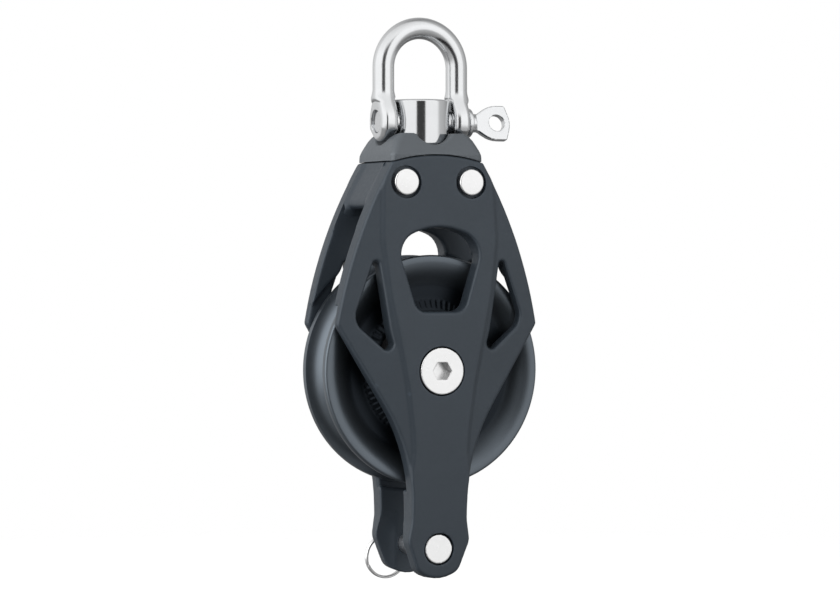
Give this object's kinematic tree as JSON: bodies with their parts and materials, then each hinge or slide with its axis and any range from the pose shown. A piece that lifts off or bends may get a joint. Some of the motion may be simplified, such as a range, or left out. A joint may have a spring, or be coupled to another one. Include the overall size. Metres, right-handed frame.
{
  "type": "single sheave block",
  "caption": "Boat block: one ball-raced sheave between two forged cheeks, with a screw-pin shackle on a head post above and a becket pin below.",
  "frame": {"origin": "centre of the sheave, on the axle's axis and midway between the cheeks", "axes": "+X to the right along the shackle pin, towards its thumb tab; +Y along the axle from the front cheek to the rear cheek; +Z from the becket up to the shackle"},
  "size_m": [0.08, 0.0428, 0.197],
  "materials": {
    "polished_steel": "polished stainless steel",
    "satin_steel": "tumbled stainless steel",
    "cheek_anodised": "matte hard-anodised forging",
    "head_anodised": "matte hard-anodised forging",
    "sheave_anodised": "satin hard-anodised, turned",
    "bearing_composite": "wound composite",
    "race_plastic": "moulded",
    "ball_plastic": "tumbled acetal"
  },
  "bodies": {
    "shackle": {"shackle_bow": "polished_steel"},
    "shackle_pin": {"shackle_pin": "satin_steel"},
    "frame": {"head_post": "polished_steel", "head_cap": "head_anodised", "head_web": "cheek_anodised", "post_washer": "satin_steel", "post_nut": "satin_steel", "nut_lock_pin": "satin_steel", "front_cheek": "cheek_anodised", "rear_cheek": "cheek_anodised", "head_rivets": "satin_steel", "axle_tube": "polished_steel", "axle_screws": "satin_steel", "front_outer_race": "race_plastic", "rear_outer_race": "race_plastic"},
    "sheave": {"sheave": "sheave_anodised", "sleeve_bearing": "bearing_composite", "front_inner_race": "race_plastic", "rear_inner_race": "race_plastic"},
    "front_ball_ring": {"front_balls": "ball_plastic"},
    "rear_ball_ring": {"rear_balls": "ball_plastic"},
    "becket_pin": {"becket_pin": "satin_steel"},
    "becket_ring": {"becket_ring": "satin_steel"}
  },
  "joints": [
    {"name": "shackle_swing", "type": "hinge", "parent": "shackle", "child": "frame", "pos_m": [0, 0, 0.086], "axis": [1, 0, 0], "range_deg": [-85, 85]},
    {"name": "shackle_pin_draw", "type": "slide", "parent": "shackle", "child": "shackle_pin", "axis": [1, 0, 0], "range_m": [0, 0.034]},
    {"name": "sheave_spin", "type": "hinge", "parent": "frame", "child": "sheave", "pos_m": [0, 0, 0], "axis": [0, 1, 0], "continuous": true},
    {"name": "front_balls_roll", "type": "hinge", "parent": "frame", "child": "front_ball_ring", "pos_m": [0, 0, 0], "axis": [0, 1, 0], "continuous": true},
    {"name": "rear_balls_roll", "type": "hinge", "parent": "frame", "child": "rear_ball_ring", "pos_m": [0, 0, 0], "axis": [0, 1, 0], "continuous": true},
    {"name": "becket_pin_turn", "type": "hinge", "parent": "frame", "child": "becket_pin", "pos_m": [0, 0, -0.0613], "axis": [0, 1, 0], "continuous": true},
    {"name": "becket_ring_swing", "type": "hinge", "parent": "becket_pin", "child": "becket_ring", "pos_m": [0, 0.0216, -0.0613], "axis": [0.8205, 0, -0.5716], "range_deg": [-12, 100]}
  ],
  "couplings": [
    {"joint": "front_balls_roll", "follows": "sheave_spin", "ratio": 0.5},
    {"joint": "rear_balls_roll", "follows": "sheave_spin", "ratio": 0.5}
  ]
}
